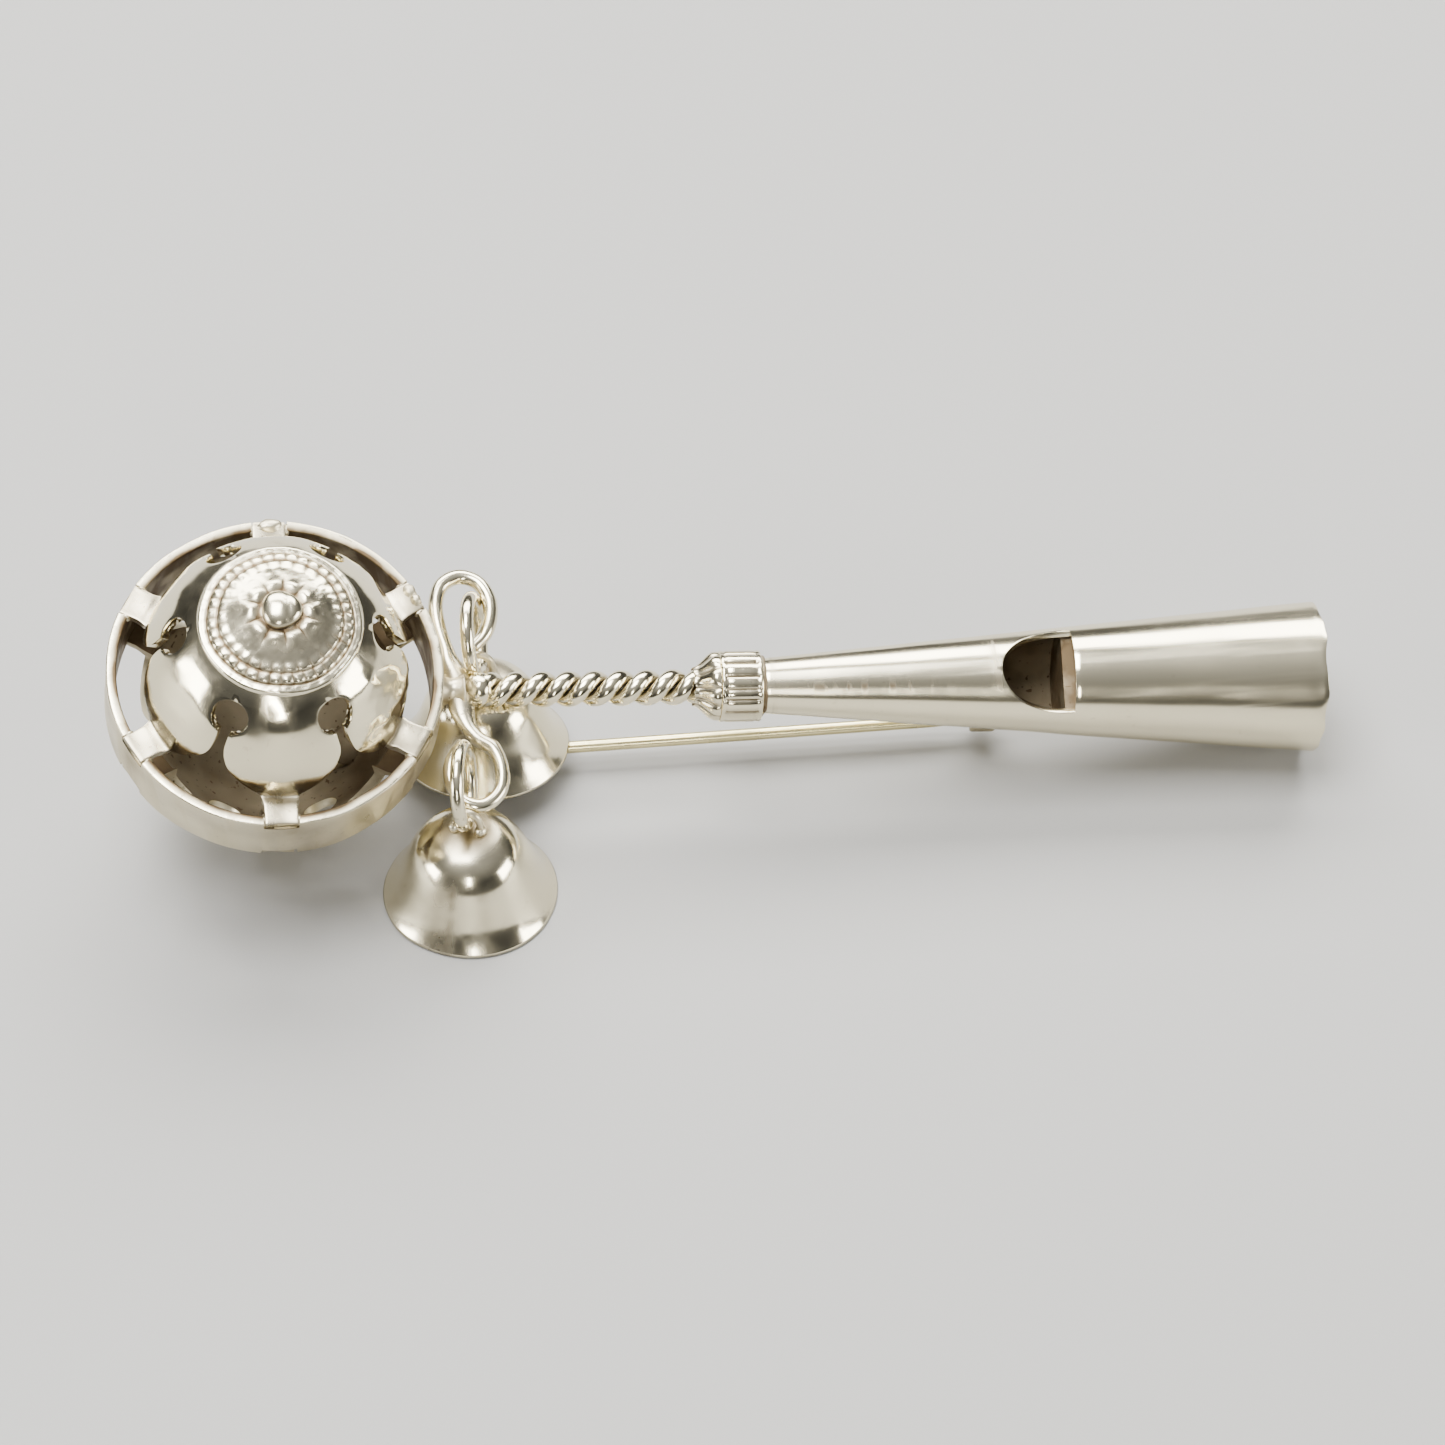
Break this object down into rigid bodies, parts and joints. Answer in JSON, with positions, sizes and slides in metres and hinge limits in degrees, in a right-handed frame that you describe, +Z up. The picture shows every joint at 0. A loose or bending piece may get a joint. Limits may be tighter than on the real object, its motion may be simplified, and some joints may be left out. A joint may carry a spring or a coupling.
{
  "type": "baby rattle brooch",
  "caption": "Silver brooch shaped like an old baby rattle: pierced ball in a hoop, twisted handle, bells on loose rings, a whistle mouthpiece and a hinged pin.",
  "frame": {"origin": "under the middle of the bounding box, on the surface it lies on", "axes": "+X runs along the handle from the ball head to the whistle mouth, +Z is up and the face of the ball leans towards -Y"},
  "size_m": [0.0702, 0.0222, 0.0207],
  "materials": {
    "polished_silver": "polished silver with fine scratches and brown tarnish in the recesses",
    "worn_silver": "duller, tarnished silver on the back, the solder and the plug",
    "pin_brass": "drawn pale brass wire, lightly polished"
  },
  "bodies": {
    "brooch": {"hoop_band": "polished_silver", "front_dome": "polished_silver", "rear_dome": "worn_silver", "medallion_disc": "polished_silver", "medallion_boss": "polished_silver", "neck_block": "worn_silver", "s_wire": "polished_silver", "twist_strand_a": "polished_silver", "twist_strand_b": "polished_silver", "crimped_cup": "polished_silver", "fluted_collar": "polished_silver", "whistle_tube": "polished_silver", "whistle_plug": "worn_silver", "hinge_block": "worn_silver", "hinge_rivet": "worn_silver", "catch_hook": "worn_silver"},
    "link_a": {"ring_a": "polished_silver"},
    "swinging_bell_a": {"bell_a": "polished_silver", "bell_staple_a": "polished_silver", "clapper_loop_a": "polished_silver"},
    "clapper_arm_a": {"clapper_a": "polished_silver"},
    "link_b": {"ring_b": "polished_silver"},
    "swinging_bell_b": {"bell_b": "polished_silver", "bell_staple_b": "polished_silver", "clapper_loop_b": "polished_silver"},
    "clapper_arm_b": {"clapper_b": "polished_silver"},
    "pin": {"pin_stem": "pin_brass"}
  },
  "joints": [
    {"name": "ring_swing_a", "type": "hinge", "parent": "brooch", "child": "link_a", "pos_m": [-0.01503, -0.0052, 0.00697], "axis": [-0.8303, 0.5157, 0.2114], "range_deg": [-4, 16]},
    {"name": "bell_swing_a", "type": "hinge", "parent": "link_a", "child": "swinging_bell_a", "pos_m": [-0.0151, -0.00605, 0.00628], "axis": [0.2098, 0.8574, -0.47], "range_deg": [-18, 18]},
    {"name": "clapper_swing_a", "type": "hinge", "parent": "swinging_bell_a", "child": "clapper_arm_a", "pos_m": [-0.01507, -0.00602, 0.00424], "axis": [0.3097, 0.9508, -0.0121], "range_deg": [-20, 20]},
    {"name": "ring_swing_b", "type": "hinge", "parent": "brooch", "child": "link_b", "pos_m": [-0.01391, 0.0043, 0.00942], "axis": [0.7236, 0.6798, 0.1195], "range_deg": [-2, 2]},
    {"name": "bell_swing_b", "type": "hinge", "parent": "link_b", "child": "swinging_bell_b", "pos_m": [-0.01362, 0.00417, 0.00747], "axis": [0.1688, 0.9346, -0.3131], "range_deg": [-2.5, 2.5]},
    {"name": "clapper_swing_b", "type": "hinge", "parent": "swinging_bell_b", "child": "clapper_arm_b", "pos_m": [-0.01357, 0.00401, 0.00578], "axis": [0.2856, 0.949, -0.1332], "range_deg": [-20, 20]},
    {"name": "pin_opening", "type": "hinge", "parent": "brooch", "child": "pin", "pos_m": [-0.02163, 0.0033, 0.001], "axis": [0.0226, 0.9659, 0.2578], "range_deg": [0, 80]}
  ]
}
